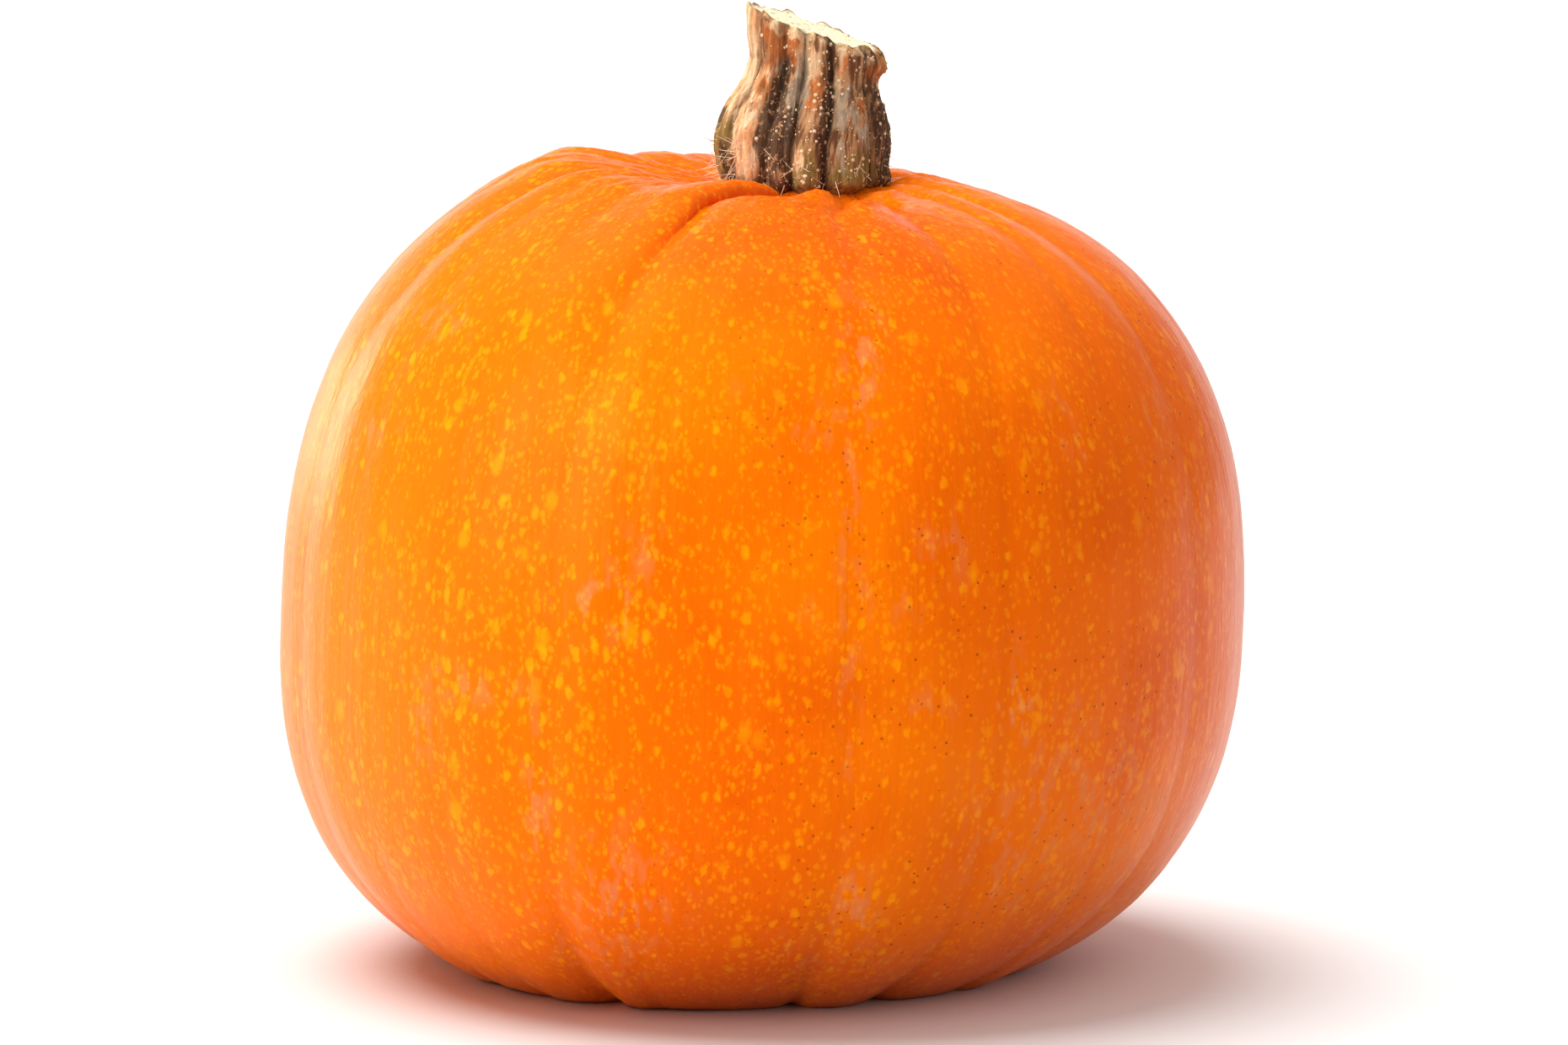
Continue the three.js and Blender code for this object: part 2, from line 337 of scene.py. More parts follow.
    grid = np.stack([outward * np.sin(azimuth) + drift, -outward * np.cos(azimuth),
                     np.maximum(0, r["equator"] + rise)], -1)
    grid[[0, -1]] = grid[[0, -1]].mean(1, keepdims=True)
    footLow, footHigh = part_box("stem")
    seat = np.array([(footLow.x + footHigh.x) / 2, (footLow.y + footHigh.y) / 2]) / mm
    grid[..., :2] += seat - grid[-1, 0, :2]

    # coordinates that follow the skin: x and y round the fruit, z along the lobes
    arc = np.cumsum(np.hypot(np.gradient(radius[:, 0]), np.gradient(height[:, 0])))[:, None]
    girth = np.sqrt(r["radius"] * np.maximum(radius, 1))
    flow = np.stack([girth * np.sin(azimuth), -girth * np.cos(azimuth), arc + 0 * azimuth], -1) * mm
    rub = 0 * azimuth
    for x, z, halfWidth, halfHeight, strength in r["rubs"]:
        away = ((grid[..., 0] - x) / halfWidth) ** 2 + ((grid[..., 2] - z) / halfHeight) ** 2
        rub = np.maximum(rub, strength * np.exp(-patchFall * away) * (grid[..., 1] < 0))
    return closedGrid("rind", grid, {
        # furrow: where the material lays painted shade into the creases
        "flow": flow, "furrow": np.clip(crease, 0, 1), "rub": rub, "cork": cork,
        "crown": np.where(isUpper, 1 - smooth(radius, *r["crownFade"]), 0)})


rindSkin = {
    "Streak Height": 0.3, "Streak Spacing": 3.4, "Streak Length": 70, "Dent Depth": 0.8, "Dent Size": 55,
    "Pebble Height": 0.1, "Pebble Size": 8,
}


def rindRelief():  # growth streaks along the lobes, soft dents and a fine pebbled skin
    tree, node, given = newGeometryTree("rindRelief", {
        "Streak Height": ("Float", 0.0), "Streak Spacing": ("Float", 1.0), "Streak Length": ("Float", 1.0),
        "Dent Depth": ("Float", 0.0), "Dent Size": ("Float", 1.0),
        "Pebble Height": ("Float", 0.0), "Pebble Size": ("Float", 1.0), "Finish": ("Material", None)})
    flow = node("GeometryNodeInputNamedAttribute", ("flow",), data_type="FLOAT_VECTOR")
    crown = node("GeometryNodeInputNamedAttribute", ("crown",), data_type="FLOAT")
    place = node("GeometryNodeInputPosition")
    squeeze = node("ShaderNodeMath", (given["Streak Spacing"], given["Streak Length"]), operation="DIVIDE")
    along = node("ShaderNodeCombineXYZ", (1.0, 1.0, squeeze))
    streakPlace = node("ShaderNodeVectorMath", (flow, along), operation="MULTIPLY")
    streaks = (crown, rind["crownStreaks"], rind["sideStreaks"])
    onCrown = node("ShaderNodeMath", streaks, operation="MULTIPLY_ADD")
    streakHeight = node("ShaderNodeMath", (onCrown, given["Streak Height"]), operation="MULTIPLY")
    moved = raiseSkin(node, given, (
        (streakPlace, "Streak Spacing", 2.0, streakHeight),
        (place, "Dent Size", 1.0, given["Dent Depth"]),
        (place, "Pebble Size", 2.0, given["Pebble Height"])))
    # nothing below the floor
    onFloor = node("ShaderNodeVectorMath", (place, (-1, -1, 0)), operation="MAXIMUM")
    rested = node("GeometryNodeSetPosition", {"Geometry": moved, "Position": onFloor})
    return finishTree(tree, rested, given["Finish"])


stem = {
    "footRadius": 17.0, "waistRadius": 12.8, "waistLevel": 0.72, "footFullness": 0.9,
    "cutRadius": 13.0, "cutLevel": 0.9, "height": 30.0, "lean": 2.8, "bend": (0.2, 0.8), "cutSlope": 0.35,
    "grooveAtFoot": 1.5, "grooveAtHead": 1.1, "grooveSharpness": 0.25, "creaseDepth": 0.6, "creaseWidth": 0.8,
    "crestAtFoot": 0.4, "crestLevel": 0.4, "crestFullness": 0.7, "wobble": 2.5, "wobbleBends": 5,
    "wobbleLevels": (0.05, 0.5),
    "tuck": 1.4, "tuckLevel": 0.06, "sink": 1.6, "sinkLevel": 0.15,
    "beadOutward": 0.7, "beadLevel": 0.07, "beadHeight": 0.05,
    "cutHollow": 0.1, "hollowEdge": 0.35, "cutTilt": 0.045, "rimRound": 0.6, "rimLevel": 0.97,
    "tipAzimuth": -76, "tipHeight": 1.0, "tipWidth": 17, "tipSharpness": 0.7,
    # the ragged rim: how far down and in it goes, and its waves: how many, height, start
    "raggedLevel": 0.75, "raggedEdge": 0.16, "raggedWaves": [(7, 0.35, 1), (13, 0.3, 0), (23, 0.25, 2)],
    # levels where warts and hairs start and stop
    "startLevels": (0.02, 0.06), "stopLevels": (0.94, 0.98),
    # hairs thin out between these levels, and grow on the side that has these sines, with a few elsewhere
    "hairLevels": (0.1, 0.34), "hairySide": (0.1, 0.9), "hairElsewhere": 0.12,
    # where it swells or narrows: azimuth, share of the height, half width in degrees, half height, outward
    "swells": [(-90, 0.6, 45, 0.14, -1.4), (88, 0.91, 30, 0.085, 1.5), (84, 0.34, 40, 0.26, 1.6),
               (-84, 0.0, 55, 0.13, -2.6), (-84, 0.2, 45, 0.1, 0.3)],
    "columnsPerRidge": 26, "columnCrowding": 0.5, "underRows": 4, "sideRows": 130, "cutRows": 26, "seed": 11,
    # azimuth of the groove before each ridge, how far its crest stands out, how warty it is
    "ridges": [(-140, 0.2, 0.6), (-98, 0.5, 0.1), (-58, 0.9, 0.15), (-27, -1.0, 0.7), (-6, 0.4, 1.0),
               (17, 0.1, 1.0), (58, 0.0, 0.8), (100, 0.4, 0.7), (140, -0.2, 0.8), (180, 0.4, 0.8)],
    # coloured places: azimuth, share of the height, half width in degrees, half height as a share, strength
    "patches": {
        "pale": [(-76, 0.9, 24, 0.2, 1.1), (-70, 0.6, 20, 0.25, 0.85), (-20, 0.97, 26, 0.05, 0.9),
                 (36, 0.97, 26, 0.035, 0.8), (-38, 0.24, 13, 0.2, 1.1), (-44, 0.5, 9, 0.3, 0.6),
                 (-5, 0.83, 11, 0.13, 1.0), (-3, 0.2, 6, 0.12, 0.8), (22, 0.75, 3.5, 0.3, 0.8),
                 (-100, 0.5, 14, 0.3, 0.5), (60, 0.9, 12, 0.06, 0.6), (150, 0.7, 14, 0.3, 0.6),
                 (-160, 0.4, 14, 0.3, 0.6)],
        "rust": [(-28, 0.87, 20, 0.14, 1.0), (-40, 0.6, 10, 0.25, 0.7), (2, 0.62, 9, 0.13, 0.9),
                 (46, 0.6, 7, 0.06, 1.0), (-17, 0.45, 5, 0.14, 0.7), (74, 0.86, 18, 0.12, 0.9),
                 (20, 0.9, 10, 0.1, 0.6), (120, 0.6, 16, 0.3, 0.8), (-120, 0.7, 16, 0.25, 0.8),
                 (170, 0.3, 16, 0.2, 0.7), (-86, 0.4, 14, 0.25, 0.6)],
        "felt": [(-11, 0.59, 8, 0.19, 1.1), (32, 0.57, 11, 0.15, 0.75), (50, 0.38, 9, 0.1, 0.75),
                 (28, 0.25, 6, 0.12, 0.6), (-84, 0.3, 7, 0.08, 0.9), (130, 0.4, 14, 0.25, 0.8),
                 (-150, 0.6, 16, 0.2, 0.8), (90, 0.3, 12, 0.16, 0.5), (-30, 0.74, 7, 0.08, 0.7)],
        "olive": [(-74, 0.17, 22, 0.24, 1.1), (2, 0.12, 12, 0.16, 0.9), (44, 0.1, 22, 0.16, 1.0),
                  (-60, 0.2, 8, 0.2, 0.7), (100, 0.12, 22, 0.18, 0.9), (150, 0.1, 22, 0.16, 0.9),
                  (-160, 0.12, 26, 0.18, 0.9), (-115, 0.14, 22, 0.2, 1.0)],
        "dark": [(-78, 0.36, 6, 0.07, 0.9), (-66, 0.14, 5, 0.1, 0.9), (-26, 0.42, 6, 0.44, 1.1),
                 (-16, 0.3, 12, 0.26, 0.9), (-24, 0.03, 24, 0.07, 0.9), (16, 0.5, 5, 0.52, 1.0),
                 (76, 0.4, 16, 0.4, 0.9), (-57, 0.03, 20, 0.08, 0.7), (66, 0.7, 14, 0.12, 0.7),
                 (180, 0.5, 8, 0.4, 0.8), (-138, 0.4, 8, 0.4, 0.8), (112, 0.5, 9, 0.4, 0.8)],
    },
}


def makeStem():  # a ridged woody stalk with a flared foot, a waist and a slanted cut
    s = stem
    rng = np.random.default_rng(s["seed"])
    azimuths, crests, warts = np.array(s["ridges"]).T
    ridges = len(azimuths)
    widths = (np.roll(azimuths, -1) - azimuths) % 360
    phase = rng.uniform(0, 2 * math.pi, ridges)
    ridge, across = crowdedColumns(ridges, s["columnsPerRidge"], s["columnCrowding"])
    nextRidge = (ridge + 1) % ridges

    def blend(values):  # a ridge's own value on its crest, and the mean of both ridges in the groove
        own = values[ridge]
        edge = np.where(across < 0.5, (values[(ridge - 1) % ridges] + own) / 2, (own + values[nextRidge]) / 2)
        return edge + (own - edge) * np.sin(math.pi * across) ** s["crestFullness"]

    # rows under the foot, up the side and over the cut: share of the height, and how far in toward the axis
    underRows, sideRows, cutRows = s["underRows"], s["sideRows"], s["cutRows"]
    share = [np.zeros(underRows), np.linspace(0, 1, sideRows), np.ones(cutRows)]
    inward = [np.linspace(1, 0.1, underRows), np.zeros(sideRows), np.linspace(0.04, 1, cutRows)]
    share, inward = (np.concatenate(rows)[:, None] for rows in (share, inward))
    isCut = (np.arange(len(share)) >= underRows + sideRows)[:, None]
    foot = np.cos(np.minimum(1, share / s["waistLevel"]) * math.pi / 2) ** s["footFullness"]
    head = (s["cutRadius"] - s["waistRadius"]) * smooth(share, s["waistLevel"], s["cutLevel"])
    radius = s["waistRadius"] + (s["footRadius"] - s["waistRadius"]) * foot + head + 0 * across

    groove = s["grooveAtFoot"] + (s["grooveAtHead"] - s["grooveAtFoot"]) * share
    sharp, fromCrest = s["grooveSharpness"], np.abs(1 - 2 * across)
    arcs = fromCrest ** 2 * (1 - sharp) + sharp * fromCrest
    span = np.radians(widths[ridge]) * radius
    crease = (np.exp(-(across * span / s["creaseWidth"]) ** 2)
              + np.exp(-((1 - across) * span / s["creaseWidth"]) ** 2))
    crest = s["crestAtFoot"] + (1 - s["crestAtFoot"]) * smooth(share, 0, s["crestLevel"])
    radius = radius + blend(crests) * crest - groove * arcs - s["creaseDepth"] * crease
    radius = radius - s["tuck"] * (1 - smooth(share, 0, s["tuckLevel"]))
    bead = np.exp(-((share - s["beadLevel"]) / s["beadHeight"]) ** 2)
    radius = radius + s["beadOutward"] * bead * (1 - arcs)
    bends = s["wobbleBends"] * share
    wobble = np.sin(bends + phase[ridge]) * (1 - across) + np.sin(bends + phase[nextRidge]) * across
    steady = smooth(share, *s["wobbleLevels"])
    azimuth = azimuths[ridge] + across * widths[ridge] + s["wobble"] * wobble * steady

    def away(angle):
        return (azimuth - angle + 180) % 360 - 180

    tip = np.exp(-(away(s["tipAzimuth"]) / s["tipWidth"]) ** 2)
    radius = radius - s["rimRound"] * smooth(share, s["rimLevel"], 1) * (1 - s["tipSharpness"] * tip)
    for angle, middle, halfWidth, halfHeight, outward in s["swells"]:
        square = (away(angle) / halfWidth) ** 2 + ((share - middle) / halfHeight) ** 2
        radius = radius + outward * np.exp(-square)
    radius = radius * (1 - inward)
    turn = np.radians(azimuth)
    x = radius * np.sin(turn) + s["lean"] * smooth(share, *s["bend"])
    y = -radius * np.cos(turn)
    full = s["height"] - s["cutSlope"] * (x - s["lean"]) + s["cutTilt"] * y
    ragged = sum(high * np.sin(waves * turn + start) for waves, high, start in s["raggedWaves"])
    hollow = s["cutHollow"] * smooth(inward, 0.0, s["hollowEdge"]) * isCut
    edge = smooth(share, s["raggedLevel"], 1) * (1 - smooth(inward, 0.0, s["raggedEdge"]))
    z = share * full + edge * (ragged + s["tipHeight"] * tip) - hollow
    z = z - s["sink"] * (1 - smooth(share, 0, s["sinkLevel"]))
    grid = np.stack([x, y, z], -1)
    grid[[0, -1]] = grid[[0, -1]].mean(1, keepdims=True)
    footLow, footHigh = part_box("stem")
    grid += np.array([(footLow.x + footHigh.x) / 2, (footLow.y + footHigh.y) / 2, footLow.z]) / mm

    flow = np.stack([radius * np.sin(turn), -radius * np.cos(turn), z], -1) * mm
    side = (1 - isCut) * smooth(share, *s["startLevels"]) * (1 - smooth(share, *s["stopLevels"]))
    leftness = smooth(-np.sin(turn), *s["hairySide"])
    hairy = s["hairElsewhere"] + (1 - s["hairElsewhere"]) * leftness
    values = {
        # groove: where the bark material lays painted shade into the grooves
        "flow": flow, "groove": np.clip(crease * 0.8 + arcs ** 2 * 0.6, 0, 1),
        "cut": isCut * smooth(inward, 0.02, 0.1), "warty": side * blend(warts) * (1 - 0.5 * arcs),
        "hairy": side * (1 - smooth(share, *s["hairLevels"])) * hairy}
    for kind, places in s["patches"].items():
        value = 0 * azimuth
        for angle, middle, halfWidth, halfHeight, strength in places:
            square = (away(angle) / halfWidth) ** 2 + ((share - middle) / halfHeight) ** 2
            value = np.maximum(value, strength * np.exp(-patchFall * square))
        values[kind] = value * (1 - isCut)
    return closedGrid("stemBark", grid, values)


barkSkin = {
    "Fibre Height": 0.35, "Fibre Width": 1.1, "Fibre Length": 14, "Knob Height": 0.45, "Knob Size": 3.5,
    "Cut Roughness": 0.4,
}


def barkRelief():  # woody fibres up the stalk, and a rough cut face
    tree, node, given = newGeometryTree("barkRelief", {
        "Fibre Height": ("Float", 0.0), "Fibre Width": ("Float", 1.0), "Fibre Length": ("Float", 1.0),
        "Knob Height": ("Float", 0.0), "Knob Size": ("Float", 1.0),
        "Cut Roughness": ("Float", 0.0), "Finish": ("Material", None)})
    flow = node("GeometryNodeInputNamedAttribute", ("flow",), data_type="FLOAT_VECTOR")
    cut = node("GeometryNodeInputNamedAttribute", ("cut",), data_type="FLOAT")
    onSide = node("ShaderNodeMath", (1.0, cut), operation="SUBTRACT")
    place = node("GeometryNodeInputPosition")
    squeeze = node("ShaderNodeMath", (given["Fibre Width"], given["Fibre Length"]), operation="DIVIDE")
    along = node("ShaderNodeCombineXYZ", (1.0, 1.0, squeeze))
    fibrePlace = node("ShaderNodeVectorMath", (flow, along), operation="MULTIPLY")
    fibres, knobs, roughness = (
        node("ShaderNodeMath", (share, given[name]), operation="MULTIPLY")
        for share, name in ((onSide, "Fibre Height"), (onSide, "Knob Height"), (cut, "Cut Roughness")))
    moved = raiseSkin(node, given, (
        (fibrePlace, "Fibre Width", 3.0, fibres),
        (place, "Knob Size", 2.0, knobs),
        (place, "Fibre Width", 4.0, roughness)))
    return finishTree(tree, moved, given["Finish"])


warts = {  # dull cork, cream to tan
    "perSquareMetre": 420000.0, "lengths": {"Smallest": 0.25, "Largest": 0.85},
    "rarity": 3.0, "flatness": 0.7, "seed": 3,
    "darker": "#A77C50", "lighter": "#F2E0C0", "toneSize": 1.5, "roughness": 0.85,
}


def wartScatter():  # corky warts on the ridges, mostly small ones
    tree, node, given = newGeometryTree("wartScatter", {
        "Per Square Metre": ("Float", 1.0), "Smallest": ("Float", 0.001), "Largest": ("Float", 0.001),
        "Flatness": ("Float", 1.0), "Seed": ("Int", 0), "Finish": ("Material", None)})
    warty = node("GeometryNodeInputNamedAttribute", ("warty",), data_type="FLOAT")
    density = node("ShaderNodeMath", (warty, given["Per Square Metre"]), operation="MULTIPLY")
    spots = node("GeometryNodeDistributePointsOnFaces", {
        "Mesh": given["Geometry"], "Density": density, "Seed": given["Seed"]})
    dome = node("GeometryNodeMeshIcoSphere", {"Radius": 0.5, "Subdivisions": 2})
    chance = node("FunctionNodeRandomValue", {"Seed": given["Seed"]}, data_type="FLOAT")
    rare = node("ShaderNodeMath", (chance, warts["rarity"]), operation="POWER")
    spread = node("ShaderNodeMath", (given["Largest"], given["Smallest"]), operation="SUBTRACT")
    size = node("ShaderNodeMath", (rare, spread, given["Smallest"]), operation="MULTIPLY_ADD")
    low = node("ShaderNodeMath", (size, given["Flatness"]), operation="MULTIPLY")
    placed = node("GeometryNodeInstanceOnPoints", {
        "Points": spots, "Instance": dome, "Rotation": spots.outputs["Rotation"],
        "Scale": node("ShaderNodeCombineXYZ", (size, size, low))})
    real = node("GeometryNodeRealizeInstances", (placed,))
    return finishTree(tree, node("GeometryNodeSetShadeSmooth", (real,)), given["Finish"])


hairs = {  # dry plant hair, pale straw with a silky gloss
    "perSquareMetre": 550000.0,
    "lengths": {"Shortest": 1.5, "Longest": 5.0, "Thickness": 0.09, "Curl": 0.9, "Curl Size": 4.0},
    "taper": 0.75, "curlPower": 1.6, "droop": 0.08, "lean": 1.0, "turn": 6.28,  # lean and turn in radians
    "points": 7, "sides": 3, "seed": 4, "lengthSeed": 7,
    "darker": "#D2B184", "lighter": "#FBEFD6", "toneSize": 4.0, "roughness": 0.45,
}


def hairScatter():  # bristly hairs round the foot of the stalk
    tree, node, given = newGeometryTree("hairScatter", {
        "Per Square Metre": ("Float", 1.0), "Shortest": ("Float", 0.001), "Longest": ("Float", 0.003),
        "Thickness": ("Float", 0.0001), "Curl": ("Float", 0.001), "Curl Size": ("Float", 0.003),
        "Seed": ("Int", 0), "Finish": ("Material", None)})
    hairy = node("GeometryNodeInputNamedAttribute", ("hairy",), data_type="FLOAT")
    spots = node("GeometryNodeDistributePointsOnFaces", {
        "Mesh": given["Geometry"], "Seed": given["Seed"],
        "Density": node("ShaderNodeMath", (hairy, given["Per Square Metre"]), operation="MULTIPLY")})
    strand = node("GeometryNodeCurvePrimitiveLine", {"Start": (0, 0, 0), "End": (0, 0, 1)})
    strand = node("GeometryNodeResampleCurve", {"Curve": strand, "Count": hairs["points"]})
    most = hairs["lean"]
    lean = node("FunctionNodeRandomValue", {
        "Min": (-most, -most, 0.0), "Max": (most, most, hairs["turn"]), "Seed": given["Seed"]},
        data_type="FLOAT_VECTOR")
    turned = node("FunctionNodeRotateRotation", (spots.outputs["Rotation"], lean), rotation_space="LOCAL")
    size = node("FunctionNodeRandomValue", {
        "Min": given["Shortest"], "Max": given["Longest"], "Seed": hairs["lengthSeed"]}, data_type="FLOAT")
    placed = node("GeometryNodeInstanceOnPoints", {
        "Points": spots, "Instance": strand, "Rotation": turned, "Scale": size})
    real = node("GeometryNodeRealizeInstances", (placed,))
    share = node("GeometryNodeSplineParameter")
    scale = node("ShaderNodeMath", (1.0, given["Curl Size"]), operation="DIVIDE")
    place = node("GeometryNodeInputPosition")
    wave = node("ShaderNodeTexNoise", {"Vector": place, "Scale": scale, "Detail": 0.0})
    centre = (0.5, 0.5, 0.5 + hairs["droop"])
    centred = node("ShaderNodeVectorMath", (wave.outputs["Color"], centre), operation="SUBTRACT")
    growing = node("ShaderNodeMath", (share, hairs["curlPower"]), operation="POWER")
    amount = node("ShaderNodeMath", (growing, given["Curl"]), operation="MULTIPLY")
    bent = node("ShaderNodeVectorMath", {"Vector": centred, "Scale": amount}, operation="SCALE")
    curled = node("GeometryNodeSetPosition", {"Geometry": real, "Offset": bent})
    taper = node("ShaderNodeMath", (share, -hairs["taper"], 1.0), operation="MULTIPLY_ADD")
    profile = node("GeometryNodeCurvePrimitiveCircle", {"Resolution": hairs["sides"], "Radius": 1.0})
    tube = node("GeometryNodeCurveToMesh", {
        "Curve": curled, "Profile Curve": profile, "Fill Caps": True,
        "Scale": node("ShaderNodeMath", (taper, given["Thickness"]), operation="MULTIPLY")})
    return finishTree(tree, tube, given["Finish"])


rindLook = {  # squash rind: hard smooth skin under a thin natural wax, so soft gloss over strong colour
    "skin": "#DF5D01", "deep": "#D45001", "warm": "#E87403", "fleck": "#F69C06", "speck": "#F08C06",
    # the furrow tint is painted shade, laid into the creases
    "furrowShade": "#C94C01", "crownTint": "#E87A16", "pit": "#5C2408", "rubTint": "#C48A66",
    "cork": "#A67B4B",
    "furrowShadeShare": 0.25, "crownStreaks": 0.5, "sideStreaks": 0.08, "pitReach": 0.125, "pitShare": 0.6,
    "rubShare": 0.36, "roughness": 0.32, "rubRoughness": 0.52, "corkRoughness": 0.85,
    # shares that change across the fruit: from and to in metres toward +X, and the shares there. The warm one
    # is painted light: the skin yellows toward the lit -X side.
    "litSideWarmth": (-0.015, -0.08, 0.0, 0.8), "fleckSide": (-0.03, 0.07, 1.0, 0.6),
    "pitSide": (-0.05, 0.03, 0.2, 1.0),
    "masks": {
        "deep": ("place", 44, 1, 3, 0.5, 0.68, 0.8), "warm": ("place", 60, 1, 2, 0.48, 0.7, 0.6),
        "drift": ("place", 24, 1, 2, 0.36, 0.62, 1.0), "streak": ("flow", 2.0, 0.05, 2, 0.5, 0.72, 1.0),
        "pitPlace": ("place", 34, 1, 1, 0.34, 0.56, 1.0), "rubBreak": ("flow", 2.6, 0.4, 8, 0.48, 0.6, 1.0),
        "rubFar": ("place", 26, 1, 2, 0.62, 0.8, 0.5)},
    # flecks: size of the cell that each has to itself, its reach and soft edge as shares of that, then
    # its strength and colour
    "flecks": [(1.35, 0.42, 0.17, 0.62, "speck"), (2.1, 0.34, 0.13, 0.5, "speck"),
               (3.1, 0.31, 0.12, 0.55, "fleck"), (8.0, 0.21, 0.09, 0.45, "fleck")],
    "fleckWaves": 1.4, "fleckStretch": 0.65, "fewestFlecks": 0.72, "smallestFleck": 0.3,
    "pitCell": 2.4, "pitEdge": (-0.03, 0.04), "corkGrain": 1.2,
    # pebbles, growth lines and dents: what each follows, size, stretch, height
    "relief": [("place", 3.0, 1, 0.09), ("flow", 1.5, 0.06, 0.13), ("place", 9.0, 1, 0.16)],
    "proud": (0.012, -0.08, -0.03, 0.5),  # how far flecks, pits, rubbed places and cork stand out
}


def rindMaterial():
    look = rindLook
    made, node = newMaterial("waxedPumpkinRind")
    flow = node("ShaderNodeAttribute", attribute_name="flow").outputs["Vector"]
    furrow, crown, rubbed, cork = (node("ShaderNodeAttribute", attribute_name=name).outputs["Fac"]
                                   for name in ("furrow", "crown", "rub", "cork"))
    place = node("ShaderNodeTexCoord").outputs["Object"]
    x = node("ShaderNodeSeparateXYZ", (place,)).outputs["X"]
    follows = {"place": place, "flow": flow}
    masks = noiseMasks(node, follows, look["masks"])

    # slow changes of tone over the skin, painted shade deeper in the furrows, pale streaks on the crown, and
    # painted light that warms the lit -X side
    furrowShadeShare = node("ShaderNodeMath", (furrow, look["furrowShadeShare"]), operation="MULTIPLY")
    streaks = (crown, look["crownStreaks"], look["sideStreaks"])
    streakShare = node("ShaderNodeMath", streaks, operation="MULTIPLY_ADD")
    streakShare = node("ShaderNodeMath", (streakShare, masks["streak"]), operation="MULTIPLY")
    # painted light: warmer, yellower skin toward the lit -X side, on top of the random warm patches
    paintedLightShare = node("ShaderNodeMapRange", (x, *look["litSideWarmth"]))
    warmAndLitShare = node("ShaderNodeMath", (masks["warm"], paintedLightShare), operation="MAXIMUM")
    colour = hexColour(look["skin"])
    for share, tint in ((masks["deep"], "deep"), (warmAndLitShare, "warm"), (furrowShadeShare, "furrowShade"),
                        (streakShare, "crownTint")):
        mixed = {"Factor": share, "A": colour, "B": hexColour(look[tint])}
        colour = node("ShaderNodeMix", mixed, data_type="RGBA")

    # yellow flecks of four sizes, with ragged edges, in loose drifts
    waves = look["fleckWaves"]
    wavy = node("ShaderNodeTexNoise", {"Vector": place, "Scale": 1 / (waves * mm), "Detail": 2.0})
    shift = node("ShaderNodeVectorMath", (wavy.outputs["Color"], (0.5, 0.5, 0.5)), operation="SUBTRACT")
    upright = node("ShaderNodeMapping", {"Vector": flow, "Scale": (1, 1, look["fleckStretch"])})
    shifted = node("ShaderNodeVectorMath", (shift, (waves * mm,) * 3, upright), operation="MULTIPLY_ADD")
    driftShare = node("ShaderNodeMapRange", (masks["drift"], 0.0, 1.0, look["fewestFlecks"], 1.0))
    fleckShare = node("ShaderNodeMapRange", (x, *look["fleckSide"]))
    flecks = 0.0
    for cell, reach, edge, strength, tint in look["flecks"]:
        cells = node("ShaderNodeTexVoronoi", {"Vector": shifted, "Scale": 1 / (cell * mm)})
        chance = node("ShaderNodeSeparateColor", (cells.outputs["Color"],))
        chance = node("ShaderNodeMapRange", (chance, 0.0, 1.0, look["smallestFleck"], 1.0))
        size = node("ShaderNodeMath", (chance, driftShare), operation="MULTIPLY")
        inside = node("ShaderNodeMath", (size, reach, 0.0), operation="MULTIPLY_ADD")
        inside = node("ShaderNodeMath", (inside, cells), operation="SUBTRACT")
        spot = node("ShaderNodeMapRange", (inside, -edge, edge, 0.0, strength),
                    interpolation_type="SMOOTHSTEP")
        spot = node("ShaderNodeMath", (spot, fleckShare), operation="MULTIPLY")
        mixed = {"Factor": spot, "A": colour, "B": hexColour(look[tint])}
        colour = node("ShaderNodeMix", mixed, data_type="RGBA")
        flecks = node("ShaderNodeMath", (flecks, spot), operation="MAXIMUM")

    # small brown pits, more of them on one side
    pits = node("ShaderNodeTexVoronoi", {"Vector": place, "Scale": 1 / (look["pitCell"] * mm)})
    sideShare = node("ShaderNodeMapRange", (x, *look["pitSide"]))
    pitReach = node("ShaderNodeMath", (masks["pitPlace"], look["pitReach"]), operation="MULTIPLY")
    pitEdge = node("ShaderNodeMath", (pitReach, pits), operation="SUBTRACT")
    pit = node("ShaderNodeMapRange", (pitEdge, *look["pitEdge"], 0.0, look["pitShare"]),
               interpolation_type="SMOOTHSTEP")
    pit = node("ShaderNodeMath", (pit, sideShare), operation="MULTIPLY")

    # rubbed dull places, broken up by the skin
    rub = node("ShaderNodeMath", (rubbed, masks["rubFar"]), operation="MAXIMUM")
    rub = node("ShaderNodeMath", (rub, masks["rubBreak"]), operation="MULTIPLY")
    rubShare = node("ShaderNodeMath", (rub, look["rubShare"]), operation="MULTIPLY")
    for share, tint in ((pit, "pit"), (rubShare, "rubTint"), (cork, "cork")):
        mixed = {"Factor": share, "A": colour, "B": hexColour(look[tint])}
        colour = node("ShaderNodeMix", mixed, data_type="RGBA")

    rough = look["roughness"]
    for share, target in ((rub, "rubRoughness"), (cork, "corkRoughness")):
        rough = node("ShaderNodeMix", {"Factor": share, "A": rough, "B": look[target]}, data_type="FLOAT")

